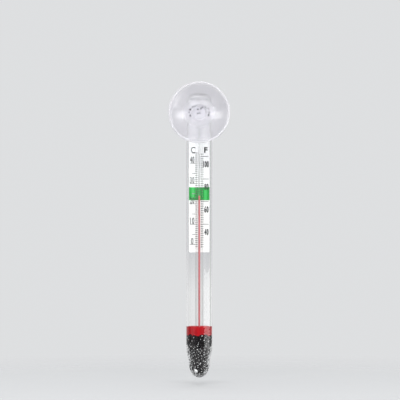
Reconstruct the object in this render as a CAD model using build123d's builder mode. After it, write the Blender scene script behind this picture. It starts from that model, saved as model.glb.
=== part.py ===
from build123d import *
import math
import os

# A glass aquarium thermometer held by a suction cup.
# Millimetres. +Z runs up the tube, and the scale and the cup's mouth face -Y.
# The origin is the centre of the cup's rim, in the plane where the cup meets the aquarium wall.

os.makedirs("parts", exist_ok=True)

# Suction cup
cup_diameter = 23.5
cup_depth = 3.0
cup_wall = 1.2
rim_land = 1.0
rim_thickness = 0.8
back_bulge = 0.7
neck_diameter = 5.2
neck_flare = 1.3
neck_length = 2.0
collar_wall = 1.75
collar_height = 5.4
collar_edge = 0.5
bore_edge = 0.25

# Glass envelope
tube_length = 110.0
tube_diameter = 10.0
tube_wall = 0.8
top_above_collar = 8.1
crown_rise = 2.5
crown_glass = 0.9
nose_height = 5.4
nose_step = 1.0
nose_blend = 6.0
tip_glass = 1.3

# Printed card
card_length = 59.4
card_thickness = 0.25
card_setback = 0.3
card_above_shoulder = 0.2
card_corner = 0.4

# Graduation: two scales that share one zero
degree_pitch = 0.785
zero_above_card_end = 3.0
celsius_low = -1
celsius_high = 45
fahrenheit_low = 30
fahrenheit_high = 112
fahrenheit_step = 2
comfort_low = 22
comfort_high = 28
reading = 24
ink_thickness = 0.03
mark_thickness = 0.3
mark_inner = 0.2
mark_short = 1.65
mark_medium = 2.8
mark_long = 3.6
band_margin = 0.15

# Capillary stem and its spirit
stem_diameter = 2.9
stem_below_crown = 2.0
stem_dome = 0.9
bore_diameter = 0.46
bulb_height = 10.0
bulb_wall = 0.35
bulb_shoulder = 1.2
bulb_above_tip = 4.4
bulb_front_room = 0.92
relief_diameter = 1.1
relief_length = 3.0
relief_cone = 0.5
relief_below_top = 1.8

# Filling
shot_above_bulb = 0.7
wax_height = 3.4

# Clearances between pieces that fit each other
collar_clearance = 0.05
card_clearance = 0.06
stem_clearance = 0.02
spirit_clearance = 0.02
fill_clearance = 0.05

# Places that follow from the sizes above
tube_radius = tube_diameter / 2
inner_radius = tube_radius - tube_wall
collar_bore = tube_radius + collar_clearance
collar_radius = collar_bore + collar_wall
cup_back = cup_depth + cup_wall
tube_y = cup_back + neck_length + collar_radius

tube_top = top_above_collar
tube_tip = tube_top - tube_length
shoulder_z = tube_top - crown_rise
nose_z = tube_tip + nose_height
straight_end_z = nose_z + nose_blend

card_front = tube_y + card_setback
card_back = card_front + card_thickness
card_reach = math.sqrt(inner_radius**2 - (card_setback + card_thickness) ** 2)
card_width = 2 * (card_reach - card_clearance)
card_top = shoulder_z + card_above_shoulder
card_bottom = card_top - card_length
zero_z = card_bottom + zero_above_card_end

stem_radius = stem_diameter / 2
stem_y = card_front - 2 * ink_thickness - stem_clearance - stem_radius
stem_top = tube_top - crown_glass - stem_below_crown
bore_radius = bore_diameter / 2
bulb_radius = inner_radius - (tube_y - stem_y) - bulb_front_room
bulb_bottom = tube_tip + tip_glass + bulb_above_tip
bulb_top = bulb_bottom + bulb_height
cavity_radius = bulb_radius - bulb_wall
cavity_top = bulb_top - bulb_wall
relief_top = stem_top - relief_below_top
relief_bottom = relief_top - relief_length
relief_radius = relief_diameter / 2

shot_top = bulb_top + shot_above_bulb
wax_top = shot_top + wax_height

oval = 0.5523  # where a cubic's middle points stand for it to follow a quarter of an oval
cup_axis = Axis.Y
tube_plane = Plane(origin=(0, tube_y, 0), x_dir=(1, 0, 0), z_dir=(0, -1, 0))
tube_axis = Axis((0, tube_y, 0), (0, 0, 1))
stem_plane = Plane(origin=(0, stem_y, 0), x_dir=(1, 0, 0), z_dir=(0, -1, 0))
stem_axis = Axis((0, stem_y, 0), (0, 0, 1))


def celsius_z(degrees):
    """Height of a Celsius reading on the scale."""
    return zero_z + degrees * degree_pitch


def fahrenheit_z(degrees):
    """Height of a Fahrenheit reading on the same scale."""
    return celsius_z((degrees - 32) / 1.8)


def round_end(radius, base_z, height):
    """Quarter of an oval, from a straight wall at base_z to the axis. A negative height turns it down."""
    tip_z = base_z + height
    Bezier(
        (radius, base_z),
        (radius, base_z + oval * height),
        (oval * radius, tip_z),
        (0, tip_z),
    )


def tube_outline(radius, crown, nose):
    """Half outline of a body with the envelope's shape: a low crown, a straight wall and a rounded nose."""
    nose_radius = radius - nose_step
    round_end(radius, shoulder_z, crown)
    Line((radius, shoulder_z), (radius, straight_end_z))
    Spline((radius, straight_end_z), (nose_radius, nose_z), tangents=[(0, -1), (0, -1)])
    round_end(nose_radius, nose_z, -nose)
    Line((0, nose_z - nose), (0, shoulder_z + crown))


# Suction cup: one soft moulding with its neck and the collar that grips the tube
rim_radius = cup_diameter / 2
mouth_radius = rim_radius - rim_land
hollow_radius = (mouth_radius**2 + cup_depth**2) / (2 * cup_depth)
neck_radius = neck_diameter / 2
flare_radius = neck_radius + neck_flare

with BuildPart() as suction_cup:
    with BuildSketch(Plane.XY):
        with BuildLine():
            Line((0, 0), (rim_radius, 0))
            Line((rim_radius, 0), (rim_radius, rim_thickness))
            SagittaArc((rim_radius, rim_thickness), (flare_radius, cup_back), -back_bulge)
            RadiusArc((flare_radius, cup_back), (neck_radius, cup_back + neck_flare), neck_flare)
            Line((neck_radius, cup_back + neck_flare), (neck_radius, tube_y))
            Line((neck_radius, tube_y), (0, tube_y))
            Line((0, tube_y), (0, 0))
        make_face()
    revolve(axis=cup_axis)
    with Locations((0, cup_depth - hollow_radius, 0)):
        Sphere(hollow_radius, mode=Mode.SUBTRACT)
    with BuildSketch(Plane.XY.offset(-collar_height / 2)):
        with Locations((0, tube_y)):
            Circle(collar_radius)
    extrude(amount=collar_height)
    collar_rims = suction_cup.edges().filter_by(GeomType.CIRCLE)
    collar_rims = collar_rims.filter_by(lambda edge: abs(edge.radius - collar_radius) < 0.01)
    fillet(collar_rims, radius=collar_edge)
    with BuildSketch(Plane.XY.offset(-collar_height / 2)):
        with Locations((0, tube_y)):
            Circle(collar_bore)
    extrude(amount=collar_height, mode=Mode.SUBTRACT)
    bore_rims = suction_cup.edges().filter_by(GeomType.CIRCLE)
    bore_rims = bore_rims.filter_by(lambda edge: abs(edge.radius - collar_bore) < 0.01)
    chamfer(bore_rims, length=bore_edge)
suction_cup.part.label = "suction_cup"
export_step(suction_cup.part, "parts/suction_cup.step")

# Glass envelope: one closed shell, sealed at its crown and drawn in to a nose
with BuildPart() as glass_tube:
    with BuildSketch(tube_plane):
        with BuildLine():
            tube_outline(tube_radius, crown_rise, nose_height)
        make_face()
        with BuildLine():
            tube_outline(inner_radius, crown_rise - crown_glass, nose_height - tip_glass)
        make_face(mode=Mode.SUBTRACT)
    revolve(axis=tube_axis)
glass_tube.part.label = "glass_tube"
export_step(glass_tube.part, "parts/glass_tube.step")

# Scale card: a flat strip as wide as the bore lets in, just behind the stem
with BuildPart() as scale_card:
    with BuildSketch(Plane.XZ.offset(-card_back)) as card_outline:
        with Locations((0, (card_top + card_bottom) / 2)):
            Rectangle(card_width, card_length)
        chamfer(card_outline.vertices(), card_corner)
    extrude(amount=card_thickness)
scale_card.part.label = "scale_card"
export_step(scale_card.part, "parts/scale_card.step")

# Comfort band: a film of ink across the card, under the marks of its own range
band_bottom = celsius_z(comfort_low) - band_margin
band_top = celsius_z(comfort_high) + band_margin

with BuildPart() as comfort_band:
    with BuildSketch(Plane.XZ.offset(-card_front)):
        with Locations((0, (band_bottom + band_top) / 2)):
            Rectangle(card_width, band_top - band_bottom)
    extrude(amount=ink_thickness)
comfort_band.part.label = "comfort_band"
export_step(comfort_band.part, "parts/comfort_band.step")


def ink_face(height):
    """How far forward a mark starts: on the card, or on the band where the band is under it."""
    on_band = band_bottom <= height <= band_top
    return card_front - ink_thickness if on_band else card_front


def mark(side, height, reach):
    """One printed line, out from beside the bore. side is -1 for the left and 1 for the right."""
    with BuildSketch(Plane.XZ.offset(-ink_face(height))) as line:
        with Locations((side * (mark_inner + reach) / 2, height)):
            Rectangle(reach - mark_inner, mark_thickness)
    extrude(line.sketch, amount=ink_thickness)


# Celsius marks: one a degree, longer at five and longest at ten
with BuildPart() as celsius_marks:
    for degrees in range(celsius_low, celsius_high + 1):
        if degrees % 10 == 0:
            mark(-1, celsius_z(degrees), mark_long)
        elif degrees % 5 == 0:
            mark(-1, celsius_z(degrees), mark_medium)
        else:
            mark(-1, celsius_z(degrees), mark_short)
celsius_marks.part.label = "celsius_marks"
export_step(celsius_marks.part, "parts/celsius_marks.step")

# Fahrenheit marks: one every two degrees, longest at the odd tens
with BuildPart() as fahrenheit_marks:
    for degrees in range(fahrenheit_low, fahrenheit_high + 1, fahrenheit_step):
        if degrees % 20 == 10 and degrees > fahrenheit_low:
            mark(1, fahrenheit_z(degrees), mark_long)
        else:
            mark(1, fahrenheit_z(degrees), mark_short)
fahrenheit_marks.part.label = "fahrenheit_marks"
export_step(fahrenheit_marks.part, "parts/fahrenheit_marks.step")


def cavity_floor(inset):
    """Half outline of the bulb's hollow from its foot to its neck, drawn in by an inset."""
    radius = cavity_radius - inset
    foot = bulb_bottom + bulb_wall + inset
    shoulder = bulb_top - bulb_shoulder
    neck = (bore_radius - inset, cavity_top)
    CenterArc((0, foot + radius), radius, 270, 90)
    Line((radius, foot + radius), (radius, shoulder))
    Line((radius, shoulder), neck)


# Capillary stem: a glass rod with a fine bore, a bulb blown at its foot and a relief chamber at its head
with BuildPart() as capillary_stem:
    with BuildSketch(stem_plane):
        with BuildLine():
            round_end(stem_radius, stem_top - stem_dome, stem_dome)
            Line((stem_radius, stem_top - stem_dome), (stem_radius, bulb_top))
            Spline(
                (stem_radius, bulb_top),
                (bulb_radius, bulb_top - bulb_shoulder),
                tangents=[(0, -1), (0, -1)],
            )
            Line((bulb_radius, bulb_top - bulb_shoulder), (bulb_radius, bulb_bottom + bulb_radius))
            CenterArc((0, bulb_bottom + bulb_radius), bulb_radius, 270, 90)
            Line((0, bulb_bottom), (0, stem_top))
        make_face()
        with BuildLine():
            cavity_floor(0)
            Polyline(
                (bore_radius, cavity_top),
                (bore_radius, relief_bottom),
                (relief_radius, relief_bottom + relief_cone),
                (relief_radius, relief_top - relief_cone),
                (0, relief_top),
                (0, bulb_bottom + bulb_wall),
            )
        make_face(mode=Mode.SUBTRACT)
    revolve(axis=stem_axis)
capillary_stem.part.label = "capillary_stem"
export_step(capillary_stem.part, "parts/capillary_stem.step")

# Bulb spirit: the dyed charge that fills the bulb and never leaves it
with BuildPart() as bulb_spirit:
    with BuildSketch(stem_plane):
        with BuildLine():
            cavity_floor(spirit_clearance)
            Polyline(
                (bore_radius - spirit_clearance, cavity_top),
                (0, cavity_top),
                (0, bulb_bottom + bulb_wall + spirit_clearance),
            )
        make_face()
    revolve(axis=stem_axis)
bulb_spirit.part.label = "bulb_spirit"
export_step(bulb_spirit.part, "parts/bulb_spirit.step")

# Spirit column: the thread in the bore, from the neck of the bulb up to the reading
column_foot = cavity_top
column_head = celsius_z(reading)

with BuildPart() as spirit_column:
    with BuildSketch(Plane.XY.offset(column_foot)):
        with Locations((0, stem_y)):
            Circle(bore_radius - spirit_clearance)
    extrude(amount=column_head - column_foot)
spirit_column.part.label = "spirit_column"
export_step(spirit_column.part, "parts/spirit_column.step")

# Ballast shot: the filling of the nose around the bulb, as one body with a flat top
stem_passage = stem_radius + fill_clearance
bulb_passage = bulb_radius + fill_clearance

with BuildPart() as ballast_shot:
    with BuildSketch(tube_plane):
        with BuildLine():
            fill_radius = inner_radius - fill_clearance
            nose_radius = fill_radius - nose_step
            nose_depth = nose_height - tip_glass - fill_clearance
            Line((0, shot_top), (fill_radius, shot_top))
            Line((fill_radius, shot_top), (fill_radius, straight_end_z))
            Spline(
                (fill_radius, straight_end_z),
                (nose_radius, nose_z),
                tangents=[(0, -1), (0, -1)],
            )
            round_end(nose_radius, nose_z, -nose_depth)
            Line((0, nose_z - nose_depth), (0, shot_top))
        make_face()
    revolve(axis=tube_axis)
    with BuildSketch(stem_plane):
        with BuildLine():
            bulb_foot = bulb_bottom + bulb_radius
            CenterArc((0, bulb_foot), bulb_passage, 270, 90)
            Line((bulb_passage, bulb_foot), (bulb_passage, shot_top))
            Line((bulb_passage, shot_top), (0, shot_top))
            Line((0, shot_top), (0, bulb_foot - bulb_passage))
        make_face()
    revolve(axis=stem_axis, mode=Mode.SUBTRACT)
ballast_shot.part.label = "ballast_shot"
export_step(ballast_shot.part, "parts/ballast_shot.step")

# Wax plug: poured on the shot, around the stem, to lock both to the glass
with BuildPart() as wax_plug:
    with BuildSketch(Plane.XY.offset(shot_top)):
        with Locations((0, tube_y)):
            Circle(inner_radius - fill_clearance)
        with Locations((0, stem_y)):
            Circle(stem_passage, mode=Mode.SUBTRACT)
    extrude(amount=wax_height)
wax_plug.part.label = "wax_plug"
export_step(wax_plug.part, "parts/wax_plug.step")
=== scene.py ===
import math
import random

import bmesh
import bpy
from mathutils import Euler, Matrix, Vector


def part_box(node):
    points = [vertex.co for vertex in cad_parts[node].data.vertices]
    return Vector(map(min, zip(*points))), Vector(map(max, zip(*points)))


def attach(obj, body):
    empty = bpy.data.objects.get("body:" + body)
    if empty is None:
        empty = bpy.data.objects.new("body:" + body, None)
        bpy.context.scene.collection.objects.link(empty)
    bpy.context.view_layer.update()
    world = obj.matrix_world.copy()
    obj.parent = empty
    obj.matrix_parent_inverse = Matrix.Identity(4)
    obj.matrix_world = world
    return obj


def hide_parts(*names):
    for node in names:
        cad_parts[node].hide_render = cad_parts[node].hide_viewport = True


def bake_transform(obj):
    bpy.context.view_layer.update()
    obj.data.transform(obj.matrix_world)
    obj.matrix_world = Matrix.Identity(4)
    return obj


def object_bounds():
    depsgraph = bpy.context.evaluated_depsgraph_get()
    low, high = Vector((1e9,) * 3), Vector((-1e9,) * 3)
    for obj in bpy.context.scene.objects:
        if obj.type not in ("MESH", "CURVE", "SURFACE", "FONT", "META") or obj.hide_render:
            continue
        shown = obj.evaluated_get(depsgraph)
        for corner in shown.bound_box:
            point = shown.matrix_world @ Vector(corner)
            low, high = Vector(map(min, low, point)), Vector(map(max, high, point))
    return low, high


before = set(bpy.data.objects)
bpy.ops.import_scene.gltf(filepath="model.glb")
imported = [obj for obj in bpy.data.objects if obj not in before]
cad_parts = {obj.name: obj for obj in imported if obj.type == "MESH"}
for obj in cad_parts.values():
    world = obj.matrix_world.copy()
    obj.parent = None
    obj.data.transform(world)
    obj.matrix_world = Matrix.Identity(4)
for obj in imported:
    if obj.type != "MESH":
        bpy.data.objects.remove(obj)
cad_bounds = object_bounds()
mm = 0.001

# Capillary stem: a rod of clear glass with a hair-fine bore, a bulb blown at its foot and a
# relief chamber near its sealed head. It stands in the shot and is held there by the wax.
stem_low, stem_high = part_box("capillary_stem")
stem_y = (stem_low.y + stem_high.y) / 2
stem_radius = 1.45 * mm
stem_dome = 0.9 * mm
bore_radius = 0.23 * mm
bulb_radius = (stem_high.x - stem_low.x) / 2
bulb_wall = 0.35 * mm
bulb_shoulder = 1.2 * mm
bulb_height = 10.0 * mm
relief_radius = 0.55 * mm
relief_low = stem_high.z - 4.8 * mm
relief_high = stem_high.z - 1.8 * mm
relief_cone = 0.7 * mm
bulb_top = stem_low.z + bulb_height
cavity_top = bulb_top - bulb_wall
turn_steps = 96
curve_steps = 12
relief_steps = 6
ring_inset = 0.2 * mm
weld_distance = 1e-7


def quarter(start, end, steps=curve_steps):
    """Points on a quarter of an oval from start to end. It leaves start upright and meets end level."""
    points = []
    for step in range(steps + 1):
        angle = math.pi / 2 * step / steps
        radius = end[0] + (start[0] - end[0]) * math.cos(angle)
        height = start[1] + (end[1] - start[1]) * math.sin(angle)
        points.append((radius, height))
    return points


def easy_curve(start, end, steps=curve_steps):
    """Points that ease from one upright wall to another."""
    points = []
    for step in range(steps + 1):
        share = step / steps
        eased = share * share * (3 - 2 * share)
        points.append((start[0] + (end[0] - start[0]) * eased, start[1] + (end[1] - start[1]) * share))
    return points


def straight_wall(radius, low, high):
    """Rings close to both ends of a straight wall, so that its shading stays level between them."""
    return [(radius, low + ring_inset), (radius, high - ring_inset)]


def turn(bm, outline, axis_y, hollow=False):
    """Turn (radius, height) points about an upright axis. A hollow skin is the wall of a cavity."""
    before = set(bm.faces)
    points = [bm.verts.new((radius, axis_y, height)) for radius, height in outline]
    edges = [bm.edges.new(pair) for pair in zip(points, points[1:])]
    bmesh.ops.spin(
        bm,
        geom=points + edges,
        cent=(0, axis_y, 0),
        axis=(0, 0, 1),
        angle=math.tau,
        steps=turn_steps,
        use_merge=True,
    )
    turned = {vert for face in bm.faces if face not in before for vert in face.verts}
    bmesh.ops.remove_doubles(bm, verts=list(turned), dist=weld_distance)
    skin = [face for face in bm.faces if face not in before]
    bmesh.ops.recalc_face_normals(bm, faces=skin)
    if hollow:
        bmesh.ops.reverse_faces(bm, faces=skin)


def piece(name, bm, finish, crease=40.0):
    """Make a mesh into an object at the origin, smooth up to the crease angle, in one finish."""
    mesh = bpy.data.meshes.new(name)
    bm.to_mesh(mesh)
    bm.free()
    made = bpy.data.objects.new(name, mesh)
    bpy.context.scene.collection.objects.link(made)
    mesh.materials.append(finish)
    mesh.shade_smooth()
    mesh.set_sharp_from_angle(angle=math.radians(crease))
    return made


def node(tree, kind, *inputs, **values):
    """Add a shader node. Inputs fill its sockets in order. Values fill settings or sockets by name."""
    made = tree.nodes.new("ShaderNode" + kind)
    pairs = []
    for key, value in values.items():
        socket = made.inputs.get(key.replace("_", " "))
        if socket is None:
            setattr(made, key, value)
        else:
            pairs.append((socket, value))
    pairs += [(socket, value) for socket, value in zip(made.inputs, inputs) if value is not None]
    for socket, value in pairs:
        if isinstance(value, bpy.types.NodeSocket):
            tree.links.new(value, socket)
        else:
            socket.default_value = value
    return made


def map_range(tree, value, from_low, from_high, to_low, to_high):
    """Carry a value from one range over to another, and hold it at the ends."""
    return node(tree, "MapRange", value, from_low, from_high, to_low, to_high).outputs[0]


def new_finish(name):
    """A node material, with its tree, its Principled shader and the piece's own coordinates."""
    made = bpy.data.materials.new(name)
    made.use_nodes = True
    tree = made.node_tree
    place = node(tree, "TexCoord").outputs["Object"]
    return made, tree, tree.nodes["Principled BSDF"], place


def stretched(tree, place, x, y, z):
    """The piece's coordinates, stretched for a pattern that is finer one way than another."""
    return node(tree, "Mapping", place, Scale=(x, y, z)).outputs[0]


def let_lamps_in(tree, shader, tint):
    """Clear glass casts no dark shadow, so lamp light reaches what is sealed inside it."""
    path = node(tree, "LightPath").outputs["Is Shadow Ray"]
    clear = node(tree, "BsdfTransparent", tint).outputs[0]
    mixed = node(tree, "MixShader", path, shader.outputs[0], clear).outputs[0]
    tree.links.new(mixed, tree.nodes["Material Output"].inputs["Surface"])


def drawn_glass(name, tint, streak_height, streak_depth):
    """Clear lamp-worked glass: fine draw lines run along it, with a breath of dust on the skin."""
    made, tree, shader, place = new_finish(name)
    shader.inputs["Base Color"].default_value = tint
    shader.inputs["IOR"].default_value = 1.5
    shader.inputs["Transmission Weight"].default_value = 1.0
    dust = node(tree, "TexNoise", place, Scale=900.0, Detail=4.0).outputs[0]
    tree.links.new(map_range(tree, dust, 0.5, 0.8, 0.0, 0.02), shader.inputs["Roughness"])
    lines = stretched(tree, place, 1.0, 1.0, streak_height)
    draw = node(tree, "TexNoise", lines, Scale=1400.0, Detail=2.0).outputs[0]
    bump = node(tree, "Bump", Height=draw, Strength=streak_depth, Distance=0.00002).outputs[0]
    tree.links.new(bump, shader.inputs["Normal"])
    let_lamps_in(tree, shader, tint)
    return made


stem_glass = drawn_glass("stem_glass", (0.985, 0.988, 0.986, 1), 0.02, 0.08)

bm = bmesh.new()
stem_skin = quarter((bulb_radius, stem_low.z + bulb_radius), (0, stem_low.z))[::-1]
stem_skin += straight_wall(bulb_radius, stem_low.z + bulb_radius, bulb_top - bulb_shoulder)
stem_skin += easy_curve((bulb_radius, bulb_top - bulb_shoulder), (stem_radius, bulb_top))
stem_skin += straight_wall(stem_radius, bulb_top, stem_high.z - stem_dome)
stem_skin += quarter((stem_radius, stem_high.z - stem_dome), (0, stem_high.z))
turn(bm, stem_skin, stem_y)
cavity_radius = bulb_radius - bulb_wall
cavity_foot = stem_low.z + bulb_wall
bore = quarter((cavity_radius, cavity_foot + cavity_radius), (0, cavity_foot))[::-1]
bore += [(cavity_radius, bulb_top - bulb_shoulder), (bore_radius, cavity_top)]
bore += straight_wall(bore_radius, cavity_top, relief_low)
bore += easy_curve((bore_radius, relief_low), (relief_radius, relief_low + relief_cone), relief_steps)
bore += quarter((relief_radius, relief_high - relief_cone), (0, relief_high), relief_steps)
turn(bm, bore, stem_y, hollow=True)
stem = piece("capillary_stem_glass", bm, stem_glass)
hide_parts("capillary_stem")
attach(stem, "tube")

# Bulb spirit: the dyed charge at the foot of the stem. It fills the bulb, wets its wall and
# never leaves it, so it keeps its own solid.


def mix_colours(tree, factor, first, second):
    """Blend two colours. The factor's and the colours' sockets are the ones a colour mix shows."""
    made = tree.nodes.new("ShaderNodeMix")
    made.data_type = "RGBA"
    for index, value in ((0, factor), (6, first), (7, second)):
        if isinstance(value, bpy.types.NodeSocket):
            tree.links.new(value, made.inputs[index])
        else:
            made.inputs[index].default_value = value
    return made.outputs[2]


def spread_noise(tree, noise, low, high):
    """Stretch a noise pattern, which mostly stays near its middle, over a range."""
    return map_range(tree, noise, 0.3, 0.7, low, high)


def refinish(name, finish):
    """Give one finish to a node that keeps its own solid."""
    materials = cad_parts[name].data.materials
    materials.clear()
    materials.append(finish)


def dyed_spirit(name, pale, deep):
    """Red-dyed spirit: a clear liquid, deep in colour, with slow swirls of dye along it."""
    made, tree, shader, place = new_finish(name)
    along_bore = stretched(tree, place, 1.0, 1.0, 0.15)
    swirl = node(tree, "TexNoise", along_bore, Scale=700.0, Detail=3.0).outputs[0]
    dye = mix_colours(tree, spread_noise(tree, swirl, 0.0, 1.0), pale, deep)
    tree.links.new(dye, shader.inputs["Base Color"])
    shader.inputs["Roughness"].default_value = 0.12
    shader.inputs["IOR"].default_value = 1.36
    return made


bulb_red = dyed_spirit("bulb_spirit_red", (0.34, 0.012, 0.014, 1), (0.22, 0.004, 0.006, 1))
refinish("bulb_spirit", bulb_red)

# Spirit thread: the same spirit drawn up the bore to the reading. It wets the glass, so it has
# a hollow top, and it is as wide as the bore, with no air between.
thread_low, thread_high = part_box("spirit_column")
thread_length = thread_high.z - thread_low.z
thread_overlap = 0.012 * mm
thread_radius = bore_radius + thread_overlap
thread_rings = 60
meniscus = 0.12 * mm
meniscus_steps = 4
thread_red = dyed_spirit("thread_red", (0.66, 0.19, 0.205, 1), (0.56, 0.14, 0.155, 1))

bm = bmesh.new()
thread_skin = [(0, thread_low.z)]
for ring in range(thread_rings + 1):
    thread_skin.append((thread_radius, thread_low.z + thread_length * ring / thread_rings))
thread_skin += quarter((thread_radius, thread_high.z), (0, thread_high.z - meniscus), meniscus_steps)[1:]
turn(bm, thread_skin, stem_y)
thread = piece("spirit_thread", bm, thread_red)
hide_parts("spirit_column")
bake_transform(thread)

# Scale card: a strip of smooth coated white card, cut to the width of the glass, with a faint
# fibre under its coating. A dark line along its head is painted shade, for the shadow at the card's top
# edge.
card_low, card_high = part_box("scale_card")
head_shade_low = card_high.z - 0.55 * mm
head_shade_full = card_high.z - 0.4 * mm
card_white, tree, shader, place = new_finish("card_white")
grain_way = stretched(tree, place, 1.0, 1.0, 0.3)
fibre = node(tree, "TexNoise", grain_way, Scale=2600.0, Detail=5.0).outputs[0]
mottle = node(tree, "TexNoise", place, Scale=260.0, Detail=3.0).outputs[0]
mottled = map_range(tree, mottle, 0.35, 0.7, 0.0, 1.0)
white = mix_colours(tree, mottled, (0.93, 0.93, 0.93, 1), (0.89, 0.89, 0.895, 1))
# Painted shade: the dark band along the card's head stands in for the shadow at its top edge.
up_card = node(tree, "SeparateXYZ", place).outputs["Z"]
head = map_range(tree, up_card, head_shade_low, head_shade_full, 0.0, 1.0)
tree.links.new(mix_colours(tree, head, white, (0.09, 0.09, 0.10, 1)), shader.inputs["Base Color"])
tree.links.new(spread_noise(tree, fibre, 0.42, 0.6), shader.inputs["Roughness"])
paper = node(tree, "Bump", Height=fibre, Strength=0.15, Distance=0.00002).outputs[0]
tree.links.new(paper, shader.inputs["Normal"])
refinish("scale_card", card_white)

# Comfort band: one pass of green ink across the card. A lighter green over the middle of each half
# is a painted highlight of the lamps mirrored in the glass; towards the ends the ink stays deep green.
highlight_middle = 2.45 * mm
highlight_core = 0.3 * mm
highlight_reach = 0.8 * mm


def math_node(tree, operation, *inputs):
    """The result of one sum on one or two values."""
    return node(tree, "Math", *inputs, operation=operation).outputs[0]


def from_centre(tree, place):
    """How far a spot lies to the left or right of the centre line."""
    across = node(tree, "SeparateXYZ", place).outputs["X"]
    return math_node(tree, "ABSOLUTE", across)


green_ink, tree, shader, place = new_finish("green_ink")
# Painted highlight: lighter green in a stripe either side of the bore, where the lamps mirror in the
# glass, mottled by the ink's grain.
past_highlight = math_node(tree, "SUBTRACT", from_centre(tree, place), highlight_middle)
highlight_zone = map_range(tree, math_node(tree, "ABSOLUTE", past_highlight), highlight_core, highlight_reach, 1.0, 0.0)
grain = node(tree, "TexNoise", place, Scale=1800.0, Detail=4.0).outputs[0]
highlight_and_grain = math_node(tree, "MULTIPLY", highlight_zone, map_range(tree, grain, 0.2, 0.8, 0.7, 1.0))
green = mix_colours(tree, highlight_and_grain, (0.002, 0.33, 0.04, 1), (0.06, 0.52, 0.12, 1))
tree.links.new(green, shader.inputs["Base Color"])
shader.inputs["Specular IOR Level"].default_value = 0.2
tree.links.new(spread_noise(tree, grain, 0.3, 0.45), shader.inputs["Roughness"])
refinish("comfort_band", green_ink)

# Degree marks: fine printed lines, out from beside the bore. The ends of the long ones are
# printed lighter than the short strokes.
stroke_end = 1.7 * mm
fade_width = 0.1 * mm


def printed_ink(name, dark, light, fade_from):
    """Black ink on card: slightly uneven, and paler past a distance from the centre line."""
    made, tree, shader, place = new_finish(name)
    fade = map_range(tree, from_centre(tree, place), fade_from, fade_from + fade_width, 0.0, 1.0)
    grain = node(tree, "TexNoise", place, Scale=3500.0, Detail=3.0).outputs[0]
    worn = map_range(tree, grain, 0.5, 0.85, 0.0, 0.25)
    factor = math_node(tree, "MAXIMUM", fade, worn)
    tree.links.new(mix_colours(tree, factor, dark, light), shader.inputs["Base Color"])
    tree.links.new(spread_noise(tree, grain, 0.35, 0.55), shader.inputs["Roughness"])
    return made


mark_ink = printed_ink("mark_ink", (0.008, 0.008, 0.009, 1), (0.30, 0.30, 0.31, 1), stroke_end)
for name in ("celsius_marks", "fahrenheit_marks"):
    refinish(name, mark_ink)

# Numerals: tall narrow figures, each just above the line it names, with C and F at the head of
# the two scales. They are printed over the band where they cross it.
degree_pitch = 0.785 * mm
zero_z = card_low.z + 3.0 * mm
figure_height = 2.45 * mm
figure_foot = 0.12 * mm
figure_ink = 0.05 * mm
figure_spacing = 1.2
figure_curve_steps = 4
letter_z = -15.3 * mm
celsius_x = -2.75 * mm
celsius_bold = 0.045 * mm
fahrenheit_bold = 0.085 * mm
freezing_fahrenheit = 32
fahrenheit_steps = 1.8
past_card = 9.0 * mm


def print_figures(bm, words, centre_x, foot_z, width, height, boldness):
    """Set a number or letter upright on the card, its foot at foot_z, squeezed to a width.
    Boldness is how far the ink spreads past each edge of a stroke."""
    lettering = bpy.data.objects.new("figures", bpy.data.curves.new("figures", "FONT"))
    lettering.data.body = words
    lettering.data.space_character = figure_spacing
    bpy.context.scene.collection.objects.link(lettering)
    bpy.ops.object.select_all(action="DESELECT")
    bpy.context.view_layer.objects.active = lettering
    lettering.select_set(True)
    bpy.ops.object.convert(target="CURVE")
    outline = lettering.data
    outline.resolution_u = figure_curve_steps
    corners = [Vector(corner) for corner in lettering.bound_box]
    low, high = corners[0], corners[6]
    scale_x = (width - 2 * boldness) / (high.x - low.x)
    scale_y = (height - 2 * boldness) / (high.y - low.y)
    outline.transform(Matrix.Translation((-(low.x + high.x) / 2, -low.y, 0)))
    outline.transform(Matrix.Diagonal((scale_x, scale_y, 1, 1)))
    outline.offset = boldness
    filled = lettering.evaluated_get(bpy.context.evaluated_depsgraph_get())
    mesh = bpy.data.meshes.new_from_object(filled)
    bpy.data.objects.remove(lettering)
    mesh.transform(Matrix.Rotation(math.pi / 2, 4, "X"))
    mesh.transform(Matrix.Translation((centre_x, card_low.y, foot_z + boldness)))
    bm.from_mesh(mesh)
    bpy.data.meshes.remove(mesh)


def raise_ink(bm):
    """Give flat figures the thickness of a pass of ink, towards the front."""
    bmesh.ops.remove_doubles(bm, verts=bm.verts, dist=weld_distance)
    flat = list(bm.faces)
    bmesh.ops.recalc_face_normals(bm, faces=flat)
    grown = bmesh.ops.extrude_face_region(bm, geom=flat)
    raised = [part for part in grown["geom"] if isinstance(part, bmesh.types.BMVert)]
    bmesh.ops.translate(bm, verts=raised, vec=(0, -figure_ink, 0))
    bmesh.ops.recalc_face_normals(bm, faces=bm.faces)


celsius_ink = printed_ink("celsius_ink", (0.022, 0.022, 0.024, 1), (0.25, 0.25, 0.26, 1), past_card)
bm = bmesh.new()
for degrees in (0, 10, 20, 30, 40):
    foot_z = zero_z + degrees * degree_pitch + figure_foot
    width = 1.65 * mm if degrees else 0.95 * mm
    print_figures(bm, str(degrees), celsius_x, foot_z, width, figure_height, celsius_bold)
print_figures(
    bm, "C", centre_x=-2.4 * mm, foot_z=letter_z, width=1.6 * mm, height=2.4 * mm, boldness=0.02 * mm
)
raise_ink(bm)
celsius_figures = piece("celsius_figures", bm, celsius_ink)
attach(celsius_figures, "tube")

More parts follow.
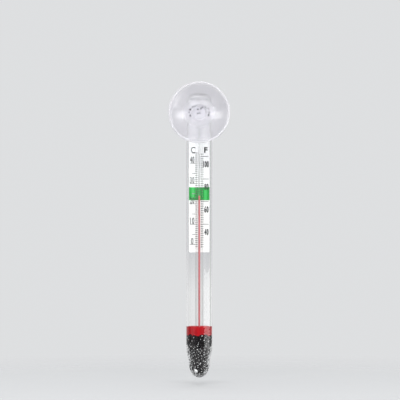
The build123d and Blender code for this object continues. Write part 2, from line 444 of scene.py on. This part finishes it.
fahrenheit_ink = printed_ink("fahrenheit_ink", (0.008, 0.008, 0.009, 1), (0.12, 0.12, 0.125, 1), past_card)
bm = bmesh.new()
for degrees in (40, 60, 80, 100):
    celsius = (degrees - freezing_fahrenheit) / fahrenheit_steps
    foot_z = zero_z + celsius * degree_pitch + figure_foot
    fahrenheit_x = 2.8 * mm if degrees < 100 else 2.6 * mm
    width = 1.7 * mm if degrees < 100 else 2.3 * mm
    print_figures(bm, str(degrees), fahrenheit_x, foot_z, width, figure_height, fahrenheit_bold)
letter_f_z = letter_z + 0.1 * mm
print_figures(
    bm, "F", centre_x=2.55 * mm, foot_z=letter_f_z, width=1.35 * mm, height=2.2 * mm, boldness=0.12 * mm
)
raise_ink(bm)
fahrenheit_figures = piece("fahrenheit_figures", bm, fahrenheit_ink)
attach(fahrenheit_figures, "tube")

# Glass envelope: one thin-walled tube of clear glass, sealed in a low crown at its head and
# drawn in to a rounded nose. Its shape is needed first, because the filling lies against it.
tube_low, tube_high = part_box("glass_tube")
tube_y = (tube_low.y + tube_high.y) / 2
tube_radius = (tube_high.x - tube_low.x) / 2
tube_wall = 0.8 * mm
inner_radius = tube_radius - tube_wall
crown_rise = 2.5 * mm
crown_glass = 0.9 * mm
nose_height = 5.4 * mm
nose_step = 1.0 * mm
nose_blend = 6.0 * mm
tip_glass = 1.3 * mm
inner_nose = nose_height - tip_glass
end_steps = 16
shoulder_z = tube_high.z - crown_rise
nose_z = tube_low.z + nose_height
straight_end_z = nose_z + nose_blend


def tube_skin(radius, crown, nose):
    """Half outline of the envelope from its tip up to its crown."""
    nose_radius = radius - nose_step
    points = quarter((nose_radius, nose_z), (0, nose_z - nose), end_steps)[::-1]
    points += easy_curve((nose_radius, nose_z), (radius, straight_end_z))[1:]
    points += straight_wall(radius, straight_end_z, shoulder_z)
    points += quarter((radius, shoulder_z), (0, shoulder_z + crown), end_steps)
    return points


tube_glass = drawn_glass("tube_glass", (0.98, 0.986, 0.983, 1), 0.01, 0.08)
bm = bmesh.new()
turn(bm, tube_skin(tube_radius, crown_rise, nose_height), tube_y)
turn(bm, tube_skin(inner_radius, crown_rise - crown_glass, inner_nose), tube_y, hollow=True)
envelope = piece("glass_envelope", bm, tube_glass)
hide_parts("glass_tube")
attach(envelope, "tube")

# Ballast shot: loose crushed iron, poured in around the bulb so that the tube sinks upright. The
# wax has soaked its top layer, and below that the grains only touch the glass here and there. The
# near-white grains against the glass are painted glints, and one pale blob low on the left is a painted
# highlight.
shot_low, shot_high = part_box("ballast_shot")
ring_step = 0.4 * mm
soak_z = shot_high.z - 4.0 * mm
wetting = 0.006 * mm
closest = 0.075
tube_gap = 0.10
nose_gap = 0.05
on_axis = 0.01 * mm
at_top = shot_high.z - 1e-6
speck_size = 0.27 * mm
speck_area = 1.25 * mm * mm
soaked_area = 2.6 * mm * mm
golden_turn = math.radians(137.5)
pressed = 0.17 * mm
first_speck = 0.4 * mm
glint_blob_x = -1.1 * mm
glint_blob_z = -98.9 * mm
glint_blob_size = 0.9 * mm
glint_blob_inset = 0.3 * mm
glint_blob_shape = (0.75, 0.7, 1.15, 1)
random.seed(11)


def nose_reach(height):
    """Radius of the envelope's inner wall at a height in the nose or above it."""
    nose_radius = inner_radius - nose_step
    if height >= straight_end_z:
        return inner_radius
    if height >= nose_z:
        share = (height - nose_z) / nose_blend
        return nose_radius + nose_step * share * share * (3 - 2 * share)
    depth = min(1.0, (nose_z - height) / inner_nose)
    return nose_radius * math.sqrt(1 - depth * depth)


def iron(name, dark, light, gloss):
    """Crushed iron: each grain broken to flat facets, with rust in patches."""
    made, tree, shader, place = new_finish(name)
    rust = node(tree, "TexNoise", place, Scale=1500.0, Detail=4.0).outputs[0]
    rusted = mix_colours(tree, map_range(tree, rust, 0.4, 0.75, 0.0, 1.0), dark, light)
    tree.links.new(rusted, shader.inputs["Base Color"])
    tree.links.new(spread_noise(tree, rust, 0.18, 0.4), shader.inputs["Roughness"])
    shader.inputs["Specular IOR Level"].default_value = gloss
    return made


def add_grain(bm, where, radius):
    """Drop one grain in at where, turned at random, and press it on the glass."""
    turned = Euler([random.uniform(0, math.tau) for axis in range(3)]).to_matrix().to_4x4()
    size = Matrix.Diagonal([random.uniform(0.6, 1.0) for axis in range(3)] + [1])
    place = Matrix.Translation(where) @ turned @ size
    verts = bmesh.ops.create_icosphere(bm, subdivisions=1, radius=radius, matrix=place)["verts"]
    poke = max(math.hypot(vert.co.x, vert.co.y - tube_y) - nose_reach(vert.co.z) for vert in verts)
    outward = Vector((where.x, where.y - tube_y, 0)).normalized()
    bmesh.ops.translate(bm, verts=verts, vec=outward * (pressed - poke))


shot_black = iron("shot_black", (0.002, 0.002, 0.003, 1), (0.012, 0.008, 0.008, 1), 0.22)
# Painted glints: near-white grains stand in for lamp light glinting off the iron's facets.
painted_glints = iron("painted_glints", (0.94, 0.95, 0.97, 1), (0.74, 0.72, 0.70, 1), 0.8)

bm = bmesh.new()
shot_skin = [point for point in tube_skin(inner_radius, 0, inner_nose) if point[1] <= straight_end_z]
rows = int((shot_high.z - straight_end_z) / ring_step)
for row in range(1, rows + 1):
    shot_skin.append((inner_radius, straight_end_z + (shot_high.z - straight_end_z) * row / rows))
shot_skin.append((0, shot_high.z))
turn(bm, shot_skin, tube_y)
bm.verts.ensure_lookup_table()
for vert in bm.verts:
    out = Vector((vert.co.x, vert.co.y - tube_y, 0))
    if out.length < on_axis:
        continue
    around = math.atan2(out.y, out.x)
    if vert.co.z >= soak_z:
        vert.co += out.normalized() * wetting
    else:
        gap = tube_gap if vert.co.z > nose_z else nose_gap
        vert.co += out.normalized() * random.uniform(-gap, closest) * mm
    if vert.co.z > at_top:
        heap = 0.3 * math.sin(5 * around + 1) + 0.2 * math.sin(12 * around)
        vert.co.z += (heap + random.uniform(-0.1, 0.3)) * mm

specks = bmesh.new()
height = shot_low.z + first_speck
angle = 0.0
while height < shot_high.z:
    angle += golden_turn + random.uniform(-0.12, 0.12)
    where = Vector((math.cos(angle), math.sin(angle), 0)) * nose_reach(height)
    where += Vector((0, tube_y, height + random.uniform(-0.15, 0.15) * mm))
    add_grain(specks, where, speck_size * random.uniform(0.7, 1.1))
    area = speck_area if height < soak_z else soaked_area
    height += area / (math.tau * nose_reach(height))
# Painted highlight: a pale blob low on the left of the nose stands in for a lamp's reflection there.
glint_blob_y = tube_y - math.sqrt((nose_reach(glint_blob_z) - glint_blob_inset) ** 2 - glint_blob_x**2)
glint_blob_place = Matrix.Translation((glint_blob_x, glint_blob_y, glint_blob_z)) @ Matrix.Diagonal(glint_blob_shape)
bmesh.ops.create_icosphere(specks, subdivisions=3, radius=glint_blob_size, matrix=glint_blob_place)
for face in specks.faces:
    face.material_index = 1
loose = bpy.data.meshes.new("specks")
specks.to_mesh(loose)
specks.free()
bm.from_mesh(loose)
bpy.data.meshes.remove(loose)
shot = piece("iron_shot", bm, shot_black, crease=20.0)
shot.data.materials.append(painted_glints)
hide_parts("ballast_shot")
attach(shot, "tube")

# Wax plug: red sealing wax poured on the shot. It runs down between the grains, creeps up the
# glass at its top, and locks the stem in place, just in front of the tube's axis.
wax_low, wax_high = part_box("wax_plug")
wax_radius = inner_radius + wetting / 2
creep = 0.25 * mm
creep_width = 0.8 * mm
creep_steps = 6
run_down = 1.0 * mm

wax_red, tree, shader, place = new_finish("wax_red")
poured_way = stretched(tree, place, 1.0, 1.0, 0.35)
cloud = node(tree, "TexNoise", poured_way, Scale=900.0, Detail=4.0).outputs[0]
clouded = spread_noise(tree, cloud, 0.0, 1.0)
red = mix_colours(tree, clouded, (0.50, 0.004, 0.010, 1), (0.38, 0.006, 0.012, 1))
tree.links.new(red, shader.inputs["Base Color"])
tree.links.new(spread_noise(tree, cloud, 0.28, 0.5), shader.inputs["Roughness"])
shader.inputs["Specular IOR Level"].default_value = 0.2
shader.inputs["Subsurface Weight"].default_value = 0.15
shader.inputs["Subsurface Radius"].default_value = (0.0006, 0.0001, 0.0001)
shader.inputs["Subsurface Scale"].default_value = 1.0

bm = bmesh.new()
wax_skin = [(0, wax_low.z), (wax_radius * 0.5, wax_low.z)]
wax_skin += [(wax_radius, wax_low.z - run_down), (wax_radius, wax_high.z)]
creep_foot = (wax_radius - creep_width, wax_high.z - creep)
wax_skin += quarter((wax_radius, wax_high.z), creep_foot, creep_steps)[1:]
wax_skin += [(0, wax_high.z - creep)]
turn(bm, wax_skin, tube_y)
wax = piece("wax_seal", bm, wax_red)
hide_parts("wax_plug")
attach(wax, "tube")

# Suction cup: one moulding in soft clear vinyl, with a thin dish, a short neck and a collar
# that the tube is pushed through. Its rim is rounded, and the vinyl is milkier where it is thick.
# Small dark pips in two arches in the middle of the hollow are painted shade, for the dark specks that the
# neck refracts.
cup_low, cup_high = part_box("suction_cup")
rim_radius = (cup_high.x - cup_low.x) / 2
rim_land = 1.0 * mm
rim_thickness = 0.8 * mm
lip_round = 0.4 * mm
cup_depth = 3.0 * mm
cup_back = 4.2 * mm
back_bulge = 0.7 * mm
neck_radius = 2.6 * mm
neck_flare = 1.3 * mm
neck_end = 7.2 * mm
collar_radius = cup_high.y - tube_y
collar_bore = 5.05 * mm
collar_height = 5.4 * mm
collar_edge = 0.5 * mm
edge_round = 0.25 * mm
rim_clear = 0.4 * mm
rim_milky = 0.9 * mm
hollow_steps = 24
flare_steps = 6
lip_steps = 8
back_steps = 16
collar_steps = 5
arch_x = 2.05 * mm
arch_z = 0.1 * mm
arch_start = -35.0
arch_turn = 220.0
arch_half_width = 1.75 * mm
arch_rise = 2.4 * mm
pips_per_arch = 7
pip_size = 0.31 * mm
pip_stray = 8.0


def arc_through(start, end, rise, steps):
    """Points on a flat arc from start to end that bows out by a rise."""
    chord = Vector(end) - Vector(start)
    side = Vector((chord.y, -chord.x)).normalized()
    points = []
    for step in range(steps + 1):
        share = step / steps
        bow = rise * (1 - (2 * share - 1) ** 2)
        points.append(tuple(Vector(start) + chord * share + side * bow))
    return points


clear_vinyl, tree, shader, place = new_finish("clear_vinyl")
cloud = node(tree, "TexNoise", place, Scale=220.0, Detail=3.0).outputs[0]
clouded = spread_noise(tree, cloud, 0.0, 1.0)
milky = mix_colours(tree, clouded, (0.74, 0.738, 0.756, 1), (0.69, 0.688, 0.71, 1))
depth = node(tree, "SeparateXYZ", place).outputs["Y"]
thick = map_range(tree, depth, cup_back - 1.5 * mm, cup_back + 0.8 * mm, 0.0, 1.0)
tree.links.new(mix_colours(tree, thick, milky, (0.82, 0.82, 0.84, 1)), shader.inputs["Base Color"])
flat_place = node(tree, "VectorMath", place, (1, 0, 1), operation="MULTIPLY").outputs[0]
from_axis = node(tree, "VectorMath", flat_place, operation="LENGTH").outputs["Value"]
at_rim = map_range(tree, from_axis, rim_radius - rim_milky, rim_radius - rim_clear, 0.8, 0.45)
at_depth = map_range(tree, depth, cup_back - 0.5 * mm, cup_back + 0.8 * mm, 0.8, 0.28)
tree.links.new(math_node(tree, "MINIMUM", at_rim, at_depth), shader.inputs["Transmission Weight"])
shader.inputs["IOR"].default_value = 1.47
skin_noise = node(tree, "TexNoise", place, Scale=1300.0, Detail=4.0).outputs[0]
tree.links.new(spread_noise(tree, skin_noise, 0.15, 0.22), shader.inputs["Roughness"])
shader.inputs["Coat Weight"].default_value = 0.3
shader.inputs["Coat Roughness"].default_value = 0.35
ripple = node(tree, "Bump", Height=cloud, Strength=0.08, Distance=0.0001).outputs[0]
tree.links.new(ripple, shader.inputs["Normal"])
let_lamps_in(tree, shader, (0.80, 0.79, 0.83, 1))

mouth_radius = rim_radius - rim_land
hollow_radius = (mouth_radius**2 + cup_depth**2) / (2 * cup_depth)
hollow_y = cup_depth - hollow_radius
mouth_angle = math.asin(mouth_radius / hollow_radius)
flare_radius = neck_radius + neck_flare
dish = []
for step in range(hollow_steps + 1):
    angle = mouth_angle * step / hollow_steps
    dish.append((hollow_radius * math.sin(angle), hollow_y + hollow_radius * math.cos(angle)))
dish[-1] = (mouth_radius, 0.0)
dish += quarter((rim_radius, lip_round), (rim_radius - lip_round, 0.0), lip_steps)[::-1]
dish.append((rim_radius, rim_thickness))
dish += arc_through((rim_radius, rim_thickness), (flare_radius, cup_back), back_bulge, back_steps)[1:]
for step in range(1, flare_steps + 1):
    angle = math.pi / 2 * step / flare_steps
    flare_y = cup_back + neck_flare * (1 - math.cos(angle))
    dish.append((flare_radius - neck_flare * math.sin(angle), flare_y))
dish += [(neck_radius, neck_end), (0, neck_end)]

bm = bmesh.new()
turn(bm, dish, 0.0)
bmesh.ops.rotate(bm, verts=bm.verts, cent=(0, 0, 0), matrix=Matrix.Rotation(-math.pi / 2, 3, "X"))
cup = piece("clear_cup", bm, clear_vinyl)

bm = bmesh.new()
half = collar_height / 2
ring = quarter((collar_radius, half - collar_edge), (collar_radius - collar_edge, half), collar_steps)
ring += [(collar_bore + edge_round, half), (collar_bore, half - edge_round)]
ring += [(radius, -height) for radius, height in reversed(ring)]
ring.append(ring[0])
turn(bm, ring, tube_y)
collar = piece("collar", bm, clear_vinyl)

weld = cup.modifiers.new("weld", "BOOLEAN")
weld.operation = "UNION"
weld.solver = "EXACT"
weld.object = collar
joined = cup.evaluated_get(bpy.context.evaluated_depsgraph_get())
welded = bpy.data.meshes.new_from_object(joined)
cup.modifiers.clear()
cup.data = welded
bpy.data.objects.remove(collar)

# Painted shade: dark pips stand in for the dark specks that the neck's refraction shows in the hollow.
shade_pip_finish, tree, shader, place = new_finish("shade_pip_finish")
shade_mottle = node(tree, "TexNoise", place, Scale=2500.0, Detail=3.0).outputs[0]
dark = mix_colours(tree, shade_mottle, (0.03, 0.03, 0.035, 1), (0.09, 0.09, 0.10, 1))
tree.links.new(dark, shader.inputs["Base Color"])
tree.links.new(spread_noise(tree, shade_mottle, 0.35, 0.55), shader.inputs["Roughness"])
shade_pips = bmesh.new()
for side in (-1, 1):
    for step in range(pips_per_arch):
        turned = arch_start + arch_turn * step / (pips_per_arch - 1)
        angle = math.radians(turned + random.uniform(-pip_stray, pip_stray))
        x = side * (arch_x + arch_half_width * math.cos(angle) * random.uniform(0.85, 1.05))
        z = arch_z + arch_rise * math.sin(angle) * random.uniform(0.85, 1.05)
        depth = hollow_y + math.sqrt(hollow_radius**2 - x**2 - z**2)
        shape = Matrix.Diagonal((random.uniform(0.5, 1.1), 0.6, random.uniform(0.7, 1.5), 1))
        pip_place = Matrix.Translation((x, depth, z)) @ shape
        bmesh.ops.create_icosphere(shade_pips, subdivisions=2, radius=pip_size, matrix=pip_place)
for face in shade_pips.faces:
    face.material_index = len(cup.data.materials)
shade_pips.from_mesh(cup.data)
shade_pips.to_mesh(cup.data)
shade_pips.free()
cup.data.materials.append(shade_pip_finish)
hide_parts("suction_cup")
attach(cup, "cup")

# Studio: a pale round floor that fades into the background. Two soft lamps in front mirror in
# the dish, a high one in front lights the card and shows in no reflection, and there is one at
# each side and one above. The camera faces the cup's mouth.
backdrop = (0.73, 0.74, 0.75, 1)
middle = Vector((0.3 * mm, tube_y, -33.4 * mm))
floor_z = cad_bounds[0][2] - 3.0 * mm
floor_radius = 0.25
fade_start = 0.06
camera_distance = 1.0
frame_width = 154.4 * mm
sensor_width = 36.0

floor_pale, tree, shader, place = new_finish("floor_pale")
shader.inputs["Base Color"].default_value = (0.53, 0.54, 0.55, 1)
shader.inputs["Roughness"].default_value = 0.9
from_middle = node(tree, "VectorMath", place, operation="LENGTH").outputs["Value"]
fade = map_range(tree, from_middle, fade_start, floor_radius * 0.95, 0.0, 1.0)
clear = node(tree, "BsdfTransparent").outputs[0]
faded = node(tree, "MixShader", fade, shader.outputs[0], clear).outputs[0]
tree.links.new(faded, tree.nodes["Material Output"].inputs["Surface"])
bm = bmesh.new()
bmesh.ops.create_circle(bm, cap_ends=True, segments=96, radius=floor_radius)
bmesh.ops.translate(bm, verts=bm.verts, vec=(0, 0, floor_z))
floor = piece("floor", bm, floor_pale)


def softbox(name, turn_degrees, height, distance, width, tall, brightness):
    """A soft lamp that faces the tube. Turned 0 it is in front, and 90 it is to the right."""
    lamp = bpy.data.lights.new(name, "AREA")
    lamp.shape = "RECTANGLE"
    lamp.size = width
    lamp.size_y = tall
    lamp.energy = brightness * math.pi * width * tall
    made = bpy.data.objects.new(name, lamp)
    angle = math.radians(turn_degrees)
    aim = Vector((0, tube_y, -45 * mm))
    made.location = (distance * math.sin(angle), tube_y - distance * math.cos(angle), height)
    made.rotation_euler = (aim - made.location).to_track_quat("-Z", "Y").to_euler()
    bpy.context.scene.collection.objects.link(made)
    return made


softbox("front_left", -36, 0.06, 0.5, 0.2, 0.12, 5.0)
softbox("front_right", 37, 0.06, 0.5, 0.2, 0.12, 5.0)
front_high = softbox("front_high", 0, 0.42, 0.5, 0.5, 0.25, 8.5)
front_high.visible_glossy = False
front_high.visible_transmission = False
softbox("side_left", -60, 0.05, 0.6, 0.45, 0.7, 0.3)
side_right = softbox("side_right", 75, -0.25, 0.6, 0.75, 0.36, 3.0)
side_right.visible_transmission = False
softbox("above", 180, 0.6, 0.3, 0.6, 0.6, 1.0)

# The room is one even tone to the camera, and dim in front, where the skins mirror it. Through the
# glass it is a sweep that is palest below, with a toned flag at each diagonal behind.
world = bpy.data.worlds.new("studio")
bpy.context.scene.world = world
world.use_nodes = True
tree = world.node_tree
direction = node(tree, "TexCoord").outputs["Generated"]
split = node(tree, "SeparateXYZ", direction)
around = math_node(tree, "ARCTAN2", split.outputs["Y"], split.outputs["X"])
lobes = math_node(tree, "COSINE", math_node(tree, "MULTIPLY", around, 4.0))
level = math_node(tree, "ABSOLUTE", split.outputs["Z"])
flat = map_range(tree, level, 0.5, 0.95, 1.0, 0.0)
flags = math_node(tree, "MULTIPLY", map_range(tree, lobes, -1.0, -0.6, 1.0, 0.0), flat)
upward = map_range(tree, split.outputs["Z"], -0.036, -0.018, 0.0, 1.0)
sweep = mix_colours(tree, upward, (0.86, 0.86, 0.87, 1), (0.64, 0.64, 0.67, 1))
to_right = map_range(tree, split.outputs["X"], -0.2, 0.2, 0.0, 1.0)
edge_flag = mix_colours(tree, to_right, (0.70, 0.71, 0.71, 1), (0.56, 0.59, 0.57, 1))
off_front = map_range(tree, split.outputs["Y"], -0.85, -0.6, 0.0, 1.0)
room = mix_colours(tree, off_front, (0.05, 0.05, 0.055, 1), (0.16, 0.16, 0.165, 1))
room_through = (0.40, 0.40, 0.41, 1)
behind = map_range(tree, split.outputs["Y"], 0.15, 0.6, 0.0, 1.0)
through_glass = mix_colours(tree, behind, room_through, mix_colours(tree, flags, sweep, edge_flag))
path = node(tree, "LightPath")
soft_fill = (0.72, 0.72, 0.73, 1)
in_gloss = mix_colours(tree, behind, room, backdrop)
lit = mix_colours(tree, path.outputs["Is Glossy Ray"], soft_fill, in_gloss)
lit = mix_colours(tree, path.outputs["Is Transmission Ray"], lit, through_glass)
seen = mix_colours(tree, path.outputs["Is Camera Ray"], lit, backdrop)
tree.links.new(seen, tree.nodes["Background"].inputs["Color"])

camera = bpy.data.cameras.new("camera")
camera.sensor_width = sensor_width
camera.lens = sensor_width * camera_distance / frame_width
eye = bpy.data.objects.new("camera", camera)
eye.location = middle - Vector((0, camera_distance, 0))
eye.rotation_euler = (math.pi / 2, 0, 0)
bpy.context.scene.collection.objects.link(eye)
bpy.context.scene.camera = eye
bpy.context.scene.view_settings.view_transform = "Standard"
